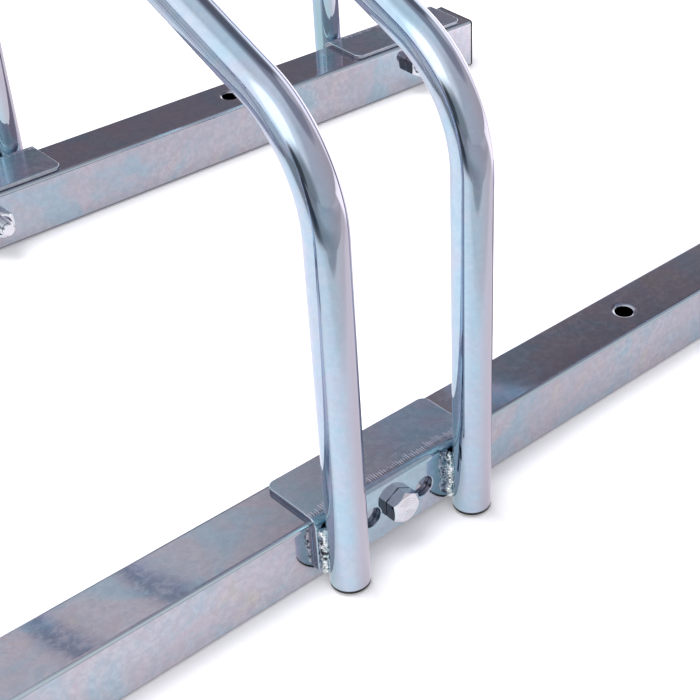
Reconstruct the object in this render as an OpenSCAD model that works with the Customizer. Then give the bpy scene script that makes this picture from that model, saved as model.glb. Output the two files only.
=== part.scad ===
// Floor bike rack of zinc-plated steel. Two square rails lie on the floor, and each wheel place is a
// pair of bent tube hoops welded to two angle brackets, one bolted over each rail.
// X runs along the rails from left to right, Y from the front rail to the rear rail, and Z up.
// The origin lies on the floor, in the middle of the rack.

/* [Wheel places] */
// Number of wheel places along the rails
place_count = 4; // [2:1:4]
// Distance from one wheel place to the next
place_pitch = 283; // [200:1:400]
// Rail left bare between the outermost bracket and the rail's end
end_margin = 7; // [2:1:60]

/* [Rails] */
// Side of the square rail tube
rail_side = 30; // [25:1:40]
// Wall of the rail tube
rail_wall = 1.5; // [1:0.1:2.5]
// Outer radius of the rail's long edges
rail_edge_r = 2; // [1.8:0.1:2.5]
// Distance between the middles of the two rails
rail_spacing = 298; // [240:1:380]

/* [Anchor holes] */
// Diameter of the floor anchor holes
anchor_hole_d = 9; // [6:0.5:11]
// Diameter of the sunk mouth of an anchor hole
anchor_sink_d = 13; // [12:0.5:16]
// Depth of the sunk mouth
anchor_sink_depth = 1; // [0.4:0.1:1]
// Distance from an anchor hole to the end of its rail
anchor_from_end = 175; // [120:1:185]

/* [Brackets] */
// Length of a bracket along the rail
bracket_length = 84; // [76:1:110]
// Thickness of the bracket's sheet
plate_t = 2.5; // [1.5:0.1:3]
// Width of the top plate that lies on the rail
plate_reach = 28; // [20:1:29]
// How far the flange hangs below the rail's top
flange_drop = 26; // [23:1:28]
// Inner radius of the bracket's bend
plate_bend_r = 1.5; // [0.8:0.1:1.8]
// Radius of the bracket's free corners
plate_corner_r = 4; // [1:0.5:5]
// Diameter of the bolt holes in bracket and rail
bolt_hole_d = 9; // [8.4:0.1:10]
// Distance between the three bolt holes of a bracket
bolt_hole_pitch = 14; // [11:0.5:15]
// How far the bolt holes lie below the rail's top
bolt_hole_drop = 13; // [11:0.5:15]

/* [Hoops] */
// Outer diameter of the hoop tube
tube_d = 16; // [12:0.5:18]
// Wall of the hoop tube
tube_wall = 1.5; // [1:0.1:2]
// Distance from a hoop's middle to the nearer end of its brackets
hoop_inset = 8.75; // [8:0.05:12]
// Gap between the tube's open ends and the floor
tube_foot_gap = 2.6; // [1.8:0.1:4]
// Length of the straight front leg
front_leg_length = 154; // [100:1:220]
// Radius of the tube's bends, at its middle line
tube_bend_r = 48; // [35:1:70]
// Rise of the hoop's top run towards the rear
top_run_slope = 22; // [10:1:35]

/* [Welds] */
// Radius of a weld bead
bead_r = 2.6; // [2:0.1:3]
// Distance from a bead's middle to the leg's middle, along the rail
bead_offset = 6.1; // [5.6:0.1:6.2]
// Distance from a bead's middle to the flange
bead_lift = 1.6; // [1:0.1:2]
// Length of a bead
bead_length = 23; // [15:1:24]
// Ripples along a bead
bead_ripples = 8; // [4:1:10]

/* [Bolts and nuts] */
// Diameter of the bolt's shank
bolt_d = 8; // [6:0.5:8]
// Length of the bolt under its head
bolt_length = 45; // [44:1:60]
// Width of the hexagons across their flats
hex_flats = 13; // [10:0.5:14]
// Height of the bolt's head
bolt_head_h = 5.3; // [4:0.1:6]
// Height of the nut
nut_h = 6.5; // [5:0.1:7]
// Play between the bolt and the nut's bore, on the radius
nut_play = 0.05; // [0.02:0.01:0.1]

/* [Tube plugs] */
// Thickness of the plug's rim below the tube
plug_rim_t = 1.5; // [0.8:0.1:1.6]
// Length of the plug inside the tube
plug_depth = 12; // [8:1:20]

/* [Rail end caps] */
// Thickness of the cap's rim over the rail's end
cap_rim_t = 1.5; // [1:0.1:3]
// Length of the cap inside the rail
cap_depth = 15; // [10:1:25]
// Wall of the cap's hollow body
cap_wall = 1.5; // [1:0.1:3]

/* [Hidden] */
$fn = 96;
// Extra length by which each cutter runs past what it cuts
overrun = 1;
// Depth of the grooves between the fins of a plug or cap
fin_depth = 0.6;
// Play between a fin and the inside of its tube
fin_play = 0.1;
// Thickness of a fin
fin_t = 1;
// Distance from one fin to the next
fin_pitch = 3.5;
// Fins on a plug or a cap
fin_count = 3;
// Edge chamfer of a plug's rim
plug_chamfer = 0.5;
// Chamfer at the end of a bolt
bolt_chamfer = 1;
// Chamfered face of a hexagon, as a share of its width across the flats
hex_face_share = 0.92;
// Depth of the hexagon's chamfer, as a share of its width across the flats
hex_chamfer_share = 0.09;
// Valley of a weld ripple, as a share of the bead's radius
ripple_valley_share = 0.86;
// Blunt end of a weld bead, as a share of the bead's radius
bead_end_share = 0.55;

PLACES = [1:place_count];
rail_length = (place_count - 1) * place_pitch + bracket_length + 2 * end_margin;
// Distance from the middle of the rack to the outer face of either rail
outer_face_y = (rail_spacing + rail_side) / 2;
// Distance from the middle of the rack to the middle of either row of legs
leg_y = outer_face_y + plate_t + tube_d / 2;
tube_inner_d = tube_d - 2 * tube_wall;
rail_inner = rail_side - 2 * rail_wall;
rail_inner_r = max(rail_edge_r - rail_wall, 0);
bolt_z = rail_side - bolt_hole_drop;
flange_z = rail_side - flange_drop;
bead_z = flange_z + (flange_drop - bead_length) / 2;

// The hoop's middle line, in its own Y and Z
front_bend_z = tube_foot_gap + front_leg_length;
front_bend_turn = 90 - top_run_slope;
top_run_y = -leg_y + tube_bend_r * (1 - cos(front_bend_turn));
top_run_z = front_bend_z + tube_bend_r * sin(front_bend_turn);
rear_bend_turn = 90 + top_run_slope;
rear_bend_y = leg_y - tube_bend_r;
top_run_length = (rear_bend_y - tube_bend_r * sin(top_run_slope) - top_run_y) / cos(top_run_slope);
rear_bend_z = top_run_z + top_run_length * sin(top_run_slope) - tube_bend_r * cos(top_run_slope);

PLACE_PARTS = ["left_hoop", "right_hoop", "front_bracket", "rear_bracket", "front_welds",
               "rear_welds", "hoop_plugs", "front_bolt", "rear_bolt", "front_nut", "rear_nut"];
RAIL_PARTS = ["front_rail", "rear_rail", "front_rail_cap_left", "front_rail_cap_right",
              "rear_rail_cap_left", "rear_rail_cap_right"];

rail_colour = [0.70, 0.69, 0.73];
bracket_colour = [0.66, 0.70, 0.75];
tube_colour = [0.74, 0.81, 0.87];
weld_colour = [0.62, 0.63, 0.62];
fastener_colour = [0.56, 0.62, 0.68];
plastic_colour = [0.07, 0.07, 0.08];

// Left end of the brackets of wheel place k
function place_x(k) = -rail_length / 2 + end_margin + (k - 1) * place_pitch;

// Turns a flat outline drawn in Y and Z so that it is drawn out along X
module along_x(length) rotate([90, 0, 90]) linear_extrude(length) children();

// Puts what is drawn for the rear rail on the front rail as its mirror image
module at_side(side) mirror([0, side == "front" ? 1 : 0, 0]) children();

// A square with round corners, its middle at the origin
module round_square(side, r) {
    flat = side - 2 * r;
    if (r > 0) {
        square([flat, side], center = true);
        square([side, flat], center = true);
        for (x = [-1, 1], y = [-1, 1]) translate([x * flat / 2, y * flat / 2]) circle(r);
    } else square(side, center = true);
}

// A strip from y = 0 up to its width, with the two corners at y = 0 rounded
module round_ended_strip(length, width, r) {
    translate([0, r]) square([length, width - r]);
    translate([r, 0]) square([length - 2 * r, r]);
    for (x = [r, length - r]) translate([x, r]) circle(r);
}

// The anchor holes at both ends of a rail, each with a sunk mouth in the top wall
module anchor_holes() {
    for (x = [-1, 1]) translate([x * (rail_length / 2 - anchor_from_end), 0, 0]) {
        translate([0, 0, -overrun]) cylinder(h = rail_side + 2 * overrun, d = anchor_hole_d);
        translate([0, 0, rail_side - anchor_sink_depth])
            cylinder(h = anchor_sink_depth, d1 = anchor_hole_d, d2 = anchor_sink_d);
    }
}

// The square tube that the brackets are bolted to, drawn at the rear
module rail() {
    translate([0, rail_spacing / 2, 0]) difference() {
        translate([-rail_length / 2, 0, rail_side / 2]) along_x(rail_length) difference() {
            round_square(rail_side, rail_edge_r);
            round_square(rail_inner, rail_inner_r);
        }
        anchor_holes();
        for (k = PLACES)
            translate([place_x(k) + bracket_length / 2, -rail_side / 2 - overrun, bolt_z])
                rotate([-90, 0, 0]) cylinder(h = rail_side + 2 * overrun, d = bolt_hole_d);
    }
}

module front_rail() color(rail_colour) at_side("front") rail();
module rear_rail() color(rail_colour) at_side("rear") rail();

// A black plastic insert that closes the right end of the rear rail
module rail_cap() {
    body = rail_inner - 2 * fin_play;
    translate([rail_length / 2, rail_spacing / 2, rail_side / 2]) {
        along_x(cap_rim_t) round_square(rail_side, rail_edge_r);
        translate([-cap_depth, 0, 0]) along_x(cap_depth) difference() {
            round_square(body - 2 * fin_depth, rail_inner_r);
            square(body - 2 * fin_depth - 2 * cap_wall, center = true);
        }
        for (n = [1:fin_count]) translate([-n * fin_pitch, 0, 0]) along_x(fin_t) difference() {
            round_square(body, rail_inner_r);
            square(body - 2 * fin_depth - 2 * cap_wall, center = true);
        }
    }
}

module rail_cap_at(side, end) color(plastic_colour) at_side(side) mirror([end == "left" ? 1 : 0, 0, 0]) rail_cap();
module front_rail_cap_left() rail_cap_at("front", "left");
module front_rail_cap_right() rail_cap_at("front", "right");
module rear_rail_cap_left() rail_cap_at("rear", "left");
module rear_rail_cap_right() rail_cap_at("rear", "right");

// The bracket's bent sheet seen from its end: Y away from the rack's middle, the rail's top edge at 0,0
module bracket_profile() {
    outer_r = plate_bend_r + plate_t;
    translate([-plate_reach, 0]) square([plate_reach - plate_bend_r, plate_t]);
    translate([0, -flange_drop]) square([plate_t, flange_drop - plate_bend_r]);
    translate([-plate_bend_r, -plate_bend_r]) intersection() {
        difference() {
            circle(outer_r);
            circle(plate_bend_r);
        }
        square(outer_r);
    }
}

// An angle bracket over the rear rail, from x = 0: top plate on the rail, flange down its outer face
module bracket() {
    strip_width = plate_reach + plate_t;
    strip_drop = flange_drop + plate_t;
    difference() {
        intersection() {
            translate([0, outer_face_y, rail_side]) along_x(bracket_length) bracket_profile();
            translate([0, outer_face_y - plate_reach, 0]) linear_extrude(rail_side + plate_t)
                round_ended_strip(bracket_length, strip_width, plate_corner_r);
            translate([0, outer_face_y + plate_t, flange_z]) rotate([90, 0, 0])
                linear_extrude(strip_width) round_ended_strip(bracket_length, strip_drop, plate_corner_r);
        }
        for (n = [-1:1])
            translate([bracket_length / 2 + n * bolt_hole_pitch, outer_face_y - overrun, bolt_z])
                rotate([-90, 0, 0]) cylinder(h = plate_t + 2 * overrun, d = bolt_hole_d);
    }
}

module bracket_at(side, k) color(bracket_colour) translate([place_x(k), 0, 0]) at_side(side) bracket();
module front_bracket(k) bracket_at("front", k);
module rear_bracket(k) bracket_at("rear", k);

// The tube's wall in section
module tube_ring() {
    difference() {
        circle(d = tube_d);
        circle(d = tube_inner_d);
    }
}

// One bent tube, in the plane x = 0: front leg, bend, rising top run, bend, rear leg
module hoop() {
    translate([0, -leg_y, tube_foot_gap]) linear_extrude(front_leg_length) tube_ring();
    translate([0, tube_bend_r - leg_y, front_bend_z]) rotate([90, 0, -90])
        rotate_extrude(angle = front_bend_turn) translate([tube_bend_r, 0]) tube_ring();
    translate([0, top_run_y, top_run_z]) rotate([-front_bend_turn, 0, 0])
        linear_extrude(top_run_length) tube_ring();
    translate([0, rear_bend_y, rear_bend_z]) rotate([90, 0, 90])
        rotate_extrude(angle = rear_bend_turn) translate([tube_bend_r, 0]) tube_ring();
    translate([0, leg_y, tube_foot_gap]) linear_extrude(rear_bend_z - tube_foot_gap) tube_ring();
}

module left_hoop(k) color(tube_colour) translate([place_x(k) + hoop_inset, 0, 0]) hoop();
module right_hoop(k) color(tube_colour) translate([place_x(k) + bracket_length - hoop_inset, 0, 0]) hoop();

// One rippled weld bead between a rear leg and its flange, on the leg's right
module weld_bead() {
    steps = 2 * bead_ripples;
    outline = [for (n = [0:steps])
        [bead_r * (n == 0 || n == steps ? bead_end_share : n % 2 == 0 ? ripple_valley_share : 1),
         n * bead_length / steps]];
    difference() {
        translate([bead_offset, leg_y - tube_d / 2 + bead_lift, bead_z])
            rotate_extrude() polygon(concat([[0, 0]], outline, [[0, bead_length]]));
        translate([0, leg_y, 0]) cylinder(h = rail_side + tube_bend_r, d = tube_d);
        translate([-bracket_length, outer_face_y, 0]) cube([2 * bracket_length, plate_t, rail_side + tube_bend_r]);
    }
}

// The four beads that hold both legs of wheel place k on one bracket
module weld_beads_at(side, k) {
    color(weld_colour) translate([place_x(k), 0, 0]) at_side(side)
        for (x = [hoop_inset, bracket_length - hoop_inset], face = [0, 1])
            translate([x, 0, 0]) mirror([face, 0, 0]) weld_bead();
}

module front_welds(k) weld_beads_at("front", k);
module rear_welds(k) weld_beads_at("rear", k);

// A black plastic plug below the open end of a tube, its finned body inside
module tube_plug() {
    body_r = tube_inner_d / 2 - fin_play;
    rim_z = tube_foot_gap - plug_rim_t;
    translate([0, 0, rim_z]) {
        cylinder(h = plug_chamfer, d1 = tube_d - 2 * plug_chamfer, d2 = tube_d);
        translate([0, 0, plug_chamfer]) cylinder(h = plug_rim_t - plug_chamfer, d = tube_d);
    }
    translate([0, 0, tube_foot_gap]) {
        cylinder(h = plug_depth, r = body_r - fin_depth);
        for (n = [1:fin_count]) translate([0, 0, n * fin_pitch - fin_t]) cylinder(h = fin_t, r = body_r);
    }
}

module hoop_plugs(k) {
    color(plastic_colour)
        for (x = [hoop_inset, bracket_length - hoop_inset], y = [-leg_y, leg_y])
            translate([place_x(k) + x, y, 0]) tube_plug();
}

// A hexagon along Z with corners at the sides, its top face turned round by a chamfer
module hexagon(height) {
    chamfer = hex_flats * hex_chamfer_share;
    corner_d = hex_flats / cos(30);
    intersection() {
        cylinder(h = height, d = corner_d, $fn = 6);
        union() {
            cylinder(h = height - chamfer, d = corner_d + chamfer);
            translate([0, 0, height - chamfer])
                cylinder(h = chamfer, d1 = corner_d + chamfer, d2 = hex_flats * hex_face_share);
        }
    }
}

// Places a fastener's axis on the middle hole of wheel place k, pointing away from the rack
module on_bolt_axis(side, k, y) {
    translate([place_x(k) + bracket_length / 2, 0, bolt_z]) at_side(side)
        translate([0, y, 0]) rotate([-90, 0, 0]) rotate([0, 0, 30]) children();
}

// A hexagon bolt with its head against the flange
module bolt_at(side, k) {
    color(fastener_colour) on_bolt_axis(side, k, outer_face_y + plate_t) {
        hexagon(bolt_head_h);
        translate([0, 0, bolt_chamfer - bolt_length]) cylinder(h = bolt_length - bolt_chamfer, d = bolt_d);
        translate([0, 0, -bolt_length])
            cylinder(h = bolt_chamfer, d1 = bolt_d - 2 * bolt_chamfer, d2 = bolt_d);
    }
}

// A hexagon nut against the rail's inner face
module nut_at(side, k) {
    color(fastener_colour) on_bolt_axis(side, k, outer_face_y - rail_side) difference() {
        mirror([0, 0, 1]) hexagon(nut_h);
        translate([0, 0, -nut_h - overrun]) cylinder(h = nut_h + 2 * overrun, r = bolt_d / 2 + nut_play);
    }
}

module front_bolt(k) bolt_at("front", k);
module rear_bolt(k) bolt_at("rear", k);
module front_nut(k) nut_at("front", k);
module rear_nut(k) nut_at("rear", k);

front_rail();
rear_rail();
front_rail_cap_left();
front_rail_cap_right();
rear_rail_cap_left();
rear_rail_cap_right();
for (k = PLACES) {
    left_hoop(k);
    right_hoop(k);
    front_bracket(k);
    rear_bracket(k);
    front_welds(k);
    rear_welds(k);
    hoop_plugs(k);
    front_bolt(k);
    rear_bolt(k);
    front_nut(k);
    rear_nut(k);
}
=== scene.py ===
"""Looks of the floor bike rack: two square rails, four pairs of bent tube hoops, brackets and bolts.

X runs along the rails, Y from the front rail to the rear rail, and Z up. Lengths are in metres.
"""

from __future__ import annotations

import logging
import math
from collections.abc import Callable, Sequence
from dataclasses import dataclass, field
from enum import Enum

import bmesh
import bpy
from mathutils import Matrix, Vector

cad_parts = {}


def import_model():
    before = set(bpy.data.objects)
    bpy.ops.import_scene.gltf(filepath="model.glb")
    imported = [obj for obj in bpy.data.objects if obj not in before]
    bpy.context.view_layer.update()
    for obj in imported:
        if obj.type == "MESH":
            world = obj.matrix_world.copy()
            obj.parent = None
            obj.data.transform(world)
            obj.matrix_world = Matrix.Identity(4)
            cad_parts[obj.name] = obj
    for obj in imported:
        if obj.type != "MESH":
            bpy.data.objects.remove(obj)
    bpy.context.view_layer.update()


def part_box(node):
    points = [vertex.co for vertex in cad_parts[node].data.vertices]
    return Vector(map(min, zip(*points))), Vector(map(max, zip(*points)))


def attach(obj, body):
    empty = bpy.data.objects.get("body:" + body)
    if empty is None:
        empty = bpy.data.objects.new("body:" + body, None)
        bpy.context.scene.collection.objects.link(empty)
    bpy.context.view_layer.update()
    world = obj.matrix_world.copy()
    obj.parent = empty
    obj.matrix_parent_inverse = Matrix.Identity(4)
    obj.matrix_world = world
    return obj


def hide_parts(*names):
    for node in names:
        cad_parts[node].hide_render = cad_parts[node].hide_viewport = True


LOG = logging.getLogger("bike_rack")
MM = 0.001
MIRROR_Y = Matrix.Scale(-1, 4, (0, 1, 0))
Triple = tuple[float, float, float]
Piece = bpy.types.Object
Socket = bpy.types.NodeSocket
Number = float | Socket
Tone = Triple | Socket


class Slot(Enum):
    """The finishes of the rack, by the record's slot names."""

    RAIL = "rail_zinc"
    TUBE = "tube_zinc"
    BRACKET = "bracket_zinc"
    WELD = "weld_metal"
    FASTENER = "fastener_zinc"
    PLASTIC = "black_plastic"


class Side(Enum):
    """Which rail a piece belongs to, with the sign of its Y."""

    FRONT = -1
    REAR = 1

    @property
    def word(self) -> str:
        """The side's word in node names."""
        return self.name.lower()


class NodeBook:
    """Adds the shader nodes of one material or world and joins them."""

    def __init__(self, owner: bpy.types.ID) -> None:
        """Starts from an empty tree.

        Args:
            owner: The material or world.
        """
        owner.use_nodes = True
        self.tree = owner.node_tree
        self.tree.nodes.clear()

    def add(self, kind: str, feeds: dict | None = None, **settings) -> bpy.types.Node:
        """Adds one node.

        Args:
            kind: The node's type without the leading "ShaderNode".
            feeds: Input name or number to a value, or to an output socket that feeds it.
            **settings: Properties of the node itself.

        Returns:
            The new node.
        """
        node = self.tree.nodes.new("ShaderNode" + kind)
        for name, value in settings.items():
            setattr(node, name, value)
        for name, value in (feeds or {}).items():
            if isinstance(value, Socket):
                self.tree.links.new(value, node.inputs[name])
            else:
                node.inputs[name].default_value = value
        return node

    def maths(self, operation: str, *numbers: Number) -> Socket:
        """Joins numbers or sockets, two at a time from the left.

        Args:
            operation: The Math node's operation.
            *numbers: What is joined. One number alone is changed on its own.

        Returns:
            The result.
        """
        result, *rest = numbers
        for number in rest or [0.0]:
            result = self.add("Math", {0: result, 1: number}, operation=operation).outputs[0]
        return result

    def times(self, *numbers: Number) -> Socket:
        """The product of numbers or sockets."""
        return self.maths("MULTIPLY", *numbers)

    def plus(self, *numbers: Number) -> Socket:
        """The sum of numbers or sockets."""
        return self.maths("ADD", *numbers)

    def measure(self, operation: str, *vectors: Sequence | Socket) -> Socket:
        """A length, distance or dot product."""
        return self.add("VectorMath", dict(enumerate(vectors)), operation=operation).outputs["Value"]

    def spread(self, value: Socket, low: float, high: float, to_low: float = 0.0,
               to_high: float = 1.0) -> Socket:
        """Rises or falls smoothly from to_low at low to to_high at high."""
        feeds = {"Value": value, "From Min": low, "From Max": high, "To Min": to_low, "To Max": to_high}
        return self.add("MapRange", feeds, interpolation_type="SMOOTHSTEP").outputs["Result"]

    def fall(self, value: Socket, low: float, high: float) -> Socket:
        """Falls smoothly from 1 at low to 0 at high."""
        return self.spread(value, low, high, 1.0, 0.0)

    def blend(self, share: Number, first: Tone, second: Tone, kind: str = "MIX") -> Socket:
        """Mixes two colours.

        Args:
            share: How much of the second colour shows.
            first: First colour.
            second: Second colour.
            kind: The mix mode.

        Returns:
            The mixed colour.
        """
        node = self.add("Mix", {0: share}, data_type="RGBA", blend_type=kind)
        for number, colour in ((6, first), (7, second)):
            if isinstance(colour, Socket):
                self.tree.links.new(colour, node.inputs[number])
            else:
                node.inputs[number].default_value = (*colour, 1.0)
        return node.outputs[2]

    def dim(self, colour: Tone, share: Number) -> Socket:
        """A colour times a number or socket."""
        return self.blend(1.0, colour, share if isinstance(share, Socket) else (share,) * 3, "MULTIPLY")

    def noise(self, where: Socket, size: float, detail: float = 3.0, rough: float = 0.5,
              swirl: float = 0.0) -> Socket:
        """A noise pattern from 0 to 1, with patches of a size in the coordinates' units."""
        return self.add("TexNoise", {"Vector": where, "Scale": 1 / size, "Detail": detail, "Roughness": rough,
                                     "Distortion": swirl}).outputs[0]

    def ramp(self, share: Socket, stops: list[tuple[float, Triple]]) -> Socket:
        """Turns a number into a colour.

        Args:
            share: The number.
            stops: Place and colour of each stop, in order.

        Returns:
            The colour.
        """
        node = self.add("ValToRGB", {0: share})
        steps = node.color_ramp.elements
        while len(steps) < len(stops):
            steps.new(0.5)
        for step, (place, colour) in zip(steps, stops):
            step.position = place
            step.color = (*colour, 1.0)
        return node.outputs[0]

    def bump(self, height: Socket, depth: float, below: Socket | None = None) -> Socket:
        """Adds a relief.

        Args:
            height: The pattern.
            depth: Its depth.
            below: Normal of a relief under it.

        Returns:
            The normal.
        """
        feeds = {"Strength": 1.0, "Distance": depth, "Height": height}
        if below:
            feeds["Normal"] = below
        return self.add("Bump", feeds).outputs[0]

    def axes(self, vector: Socket) -> Sequence:
        """The X, Y and Z of a vector."""
        return self.add("SeparateXYZ", {0: vector}).outputs

    def coords(self, kind: str = "Object") -> Socket:
        """Coordinates of one kind."""
        return self.add("TexCoord").outputs[kind]


@dataclass(frozen=True)
class Finish:
    """A procedural material on object coordinates."""

    name: str

    def paint(self, book: NodeBook, where: Socket) -> dict:
        """Adds the pattern's nodes and returns what feeds the surface shader."""
        raise NotImplementedError

    def build(self) -> bpy.types.Material:
        """Makes the material.

        Returns:
            The new material.
        """
        material = bpy.data.materials.new(self.name)
        book = NodeBook(material)
        shader = book.add("BsdfPrincipled", self.paint(book, book.coords()))
        book.add("OutputMaterial", {"Surface": shader.outputs[0]})
        return material


@dataclass(frozen=True)
class ZincFinish(Finish):
    """Bright zinc plating: a mirror with faint pink, blue and straw clouds, smudges and fine lines.

    Where they are given, foot is painted shade low on a leg's inner side, side_reflection a painted
    reflection tint on a tube's right side and rounded a painted highlight on a rail's upper edge, with a
    painted dark line of shade along its lower edge. A share of sides below 1 paints shade on what faces along
    the rail.
    """

    tint: Triple
    cool: Triple
    warm: Triple
    straw: Triple
    edge: Triple
    cloud: float = 0.03
    gloss: float = 0.07
    smudge: float = 0.22
    smudge_share: float = 0.5
    wave: float = 0.00003
    lines: Triple = (0.02, 0.0006, 0.0006)
    line_depth: float = 0.000002
    # Below 1, paints shade on the faces that look along the rail.
    sides: float = 1.0
    satin: float = 0.0
    mottle: float = 0.03
    # Painted shade: a darker colour low on a leg's inner side.
    foot: Triple | None = None
    # Painted reflection: a lilac tint on the side of a tube that faces right.
    side_reflection: Triple | None = None
    # Painted highlight on a rail's upper rounded edge; it also turns on a painted dark line of shade along
    # the lower edge.
    rounded: Triple | None = None
    comb: Comb | None = None
    fleck_size: float = 0.0035
    wave_size: float = 0.02
    grain_size: float = 0.0009
    grain_depth: float = 0.0000012
    grime: Triple = (0.58, 0.57, 0.58)
    score: Triple = (0.74, 0.70, 0.80)

    def paint(self, book: NodeBook, where: Socket) -> dict:
        """Adds the plating's nodes.

        Args:
            book: The material's nodes.
            where: Object coordinates.

        Returns:
            What feeds the surface shader.
        """
        clouds = book.noise(where, self.cloud, 5.0, 0.6, 0.7)
        stops = [(0.37, self.cool), (0.48, self.tint), (0.57, self.warm), (0.68, self.straw)]
        colour = book.ramp(clouds, stops)
        small = book.noise(where, self.cloud / 5, 4.0, 0.65, 0.4)
        colour = book.blend(book.spread(small, 0.45, 0.75, 0.0, 0.5), colour, self.cool)
        flecks = book.noise(where, self.fleck_size, 6.0, 0.72, 0.3)
        patches = book.noise(where, self.cloud * 1.6)
        smudges = book.times(book.spread(flecks, 0.44, 0.62), book.spread(patches, 0.42, 0.62))
        colour = book.blend(book.times(smudges, 0.16), colour, self.grime)
        colour = book.dim(colour, book.spread(flecks, 0.36, 0.64, 1 - self.mottle, 1 + self.mottle))
        facing = book.axes(book.coords("Normal"))
        # Painted light and shade by the way the surface faces.
        colour = self.paint_facing_light(book, colour, book.axes(where), facing)
        scale = tuple(1 / size for size in self.lines)
        stretched = book.add("Mapping", {"Vector": where, "Scale": scale}).outputs[0]
        lines = book.noise(stretched, 1.0, 3.0, 0.6)
        rough = book.plus(self.gloss, book.times(smudges, (self.smudge - self.gloss) * self.smudge_share))
        rough = book.plus(rough, book.times(book.spread(lines, 0.62, 0.72), 0.05))
        rough = book.plus(rough, book.spread(facing[2], 0.5, 0.9, 0.0, self.satin))
        if self.comb:
            marks = self.comb.marks(book, where)
            colour = book.blend(marks, colour, self.score)
            rough = book.plus(rough, book.times(marks, 0.35))
        normal = book.bump(book.noise(where, self.wave_size, 2.0, 0.4), self.wave)
        normal = book.bump(lines, self.line_depth, normal)
        normal = book.bump(book.noise(where, self.grain_size, 2.0), self.grain_depth, normal)
        return {"Base Color": colour, "Metallic": 1.0, "Roughness": rough, "Specular Tint": (*self.edge, 1.0),
                "Normal": normal}

    def paint_facing_light(self, book: NodeBook, colour: Socket, spot: Sequence, facing: Sequence) -> Socket:
        """Paints shade, reflection tints and highlights on the plating by the way it faces.

        Args:
            book: The material's nodes.
            colour: The plating's colour.
            spot: X, Y and Z of the place.
            facing: X, Y and Z of the normal.

        Returns:
            The colour with its painted shade, reflection tints and highlights.
        """
        level = book.maths("ABSOLUTE", facing[1])
        # Painted shade: darker teal low on the inner side of a leg.
        if self.foot:
            inward = book.times(facing[1], spot[1], -1 / Hoops.leg_y)
            low = book.times(book.fall(spot[2], 0.035, 0.08), book.spread(inward, -0.3, 0.3))
            colour = book.blend(low, colour, self.foot)
        # Painted reflection: a tint on the tube's side that faces right and towards the front.
        if self.side_reflection:
            lean = book.maths("SUBTRACT", book.times(facing[0], 0.67), book.times(facing[1], 0.74))
            colour = book.blend(book.spread(lean, 0.2, 0.95), colour, self.side_reflection)
        if self.rounded:
            # Painted shade: a dark line along the lower rounded edge.
            under = book.times(book.fall(facing[2], -0.30, -0.05), book.spread(level, 0.3, 0.5))
            colour = book.blend(under, colour, (0.17, 0.17, 0.20))
            # Painted highlight: a light band along the upper rounded edge.
            corner = book.fall(book.maths("MAXIMUM", level, book.maths("ABSOLUTE", facing[2])), 0.80, 0.99)
            colour = book.blend(book.times(corner, book.spread(facing[2], 0.0, 0.1)), colour, self.rounded)
        # Painted shade on the flanks that look along the rail.
        if self.sides < 1:
            side = book.spread(facing[2], 0.1, 0.4, 0.88, 1 - self.sides)
            colour = book.blend(book.times(book.fall(level, 0.15, 0.45), side), colour, (0.02, 0.03, 0.04))
        return colour


@dataclass(frozen=True)
class Comb:
    """The comb of short pale scores that the bending press leaves beside a bracket's bend."""

    pitch: float = 1.15 * MM
    jitter_share: float = 0.14
    reach: float = 6.2 * MM
    reach_spare: float = 1.4 * MM
    patch: float = 11 * MM
    start: float = 0.2 * MM
    start_fade: float = 0.4 * MM
    end_fade: float = 0.7 * MM

    def marks(self, book: NodeBook, where: Socket) -> Socket:
        """Adds the scores' nodes.

        Args:
            book: The material's nodes.
            where: Object coordinates.

        Returns:
            The scores as a mask from 0 to 1.
        """
        spot = book.axes(where)
        along = book.times(spot[0], 1 / self.pitch)
        cell = book.maths("FLOOR", along)
        chance, other = (book.add("TexWhiteNoise", {"W": seed}, noise_dimensions="1D").outputs[0]
                         for seed in (cell, book.plus(cell, 0.5)))
        shift = book.times(book.plus(chance, -0.5), self.jitter_share)
        off = book.plus(book.maths("FRACT", along), -0.5, shift)
        line = book.fall(book.maths("ABSOLUTE", off), 0.14, 0.24)
        depth = book.maths("SUBTRACT", Brackets.face_y, book.maths("ABSOLUTE", spot[1]))
        begun = book.spread(depth, self.start, self.start + self.start_fade)
        reach = book.times(book.noise(where, self.patch, 2.0), self.reach)
        length = book.plus(reach, book.times(other, self.reach_spare))
        inside = book.spread(book.maths("SUBTRACT", length, depth), 0.0, self.end_fade)
        plate = Brackets.rail_top + Brackets.sheet
        top = book.spread(spot[2], plate - 0.7 * MM, plate - 0.3 * MM)
        return book.times(line, begun, inside, book.spread(chance, 0.0, 0.7, 0.4, 1.0), top)


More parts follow.
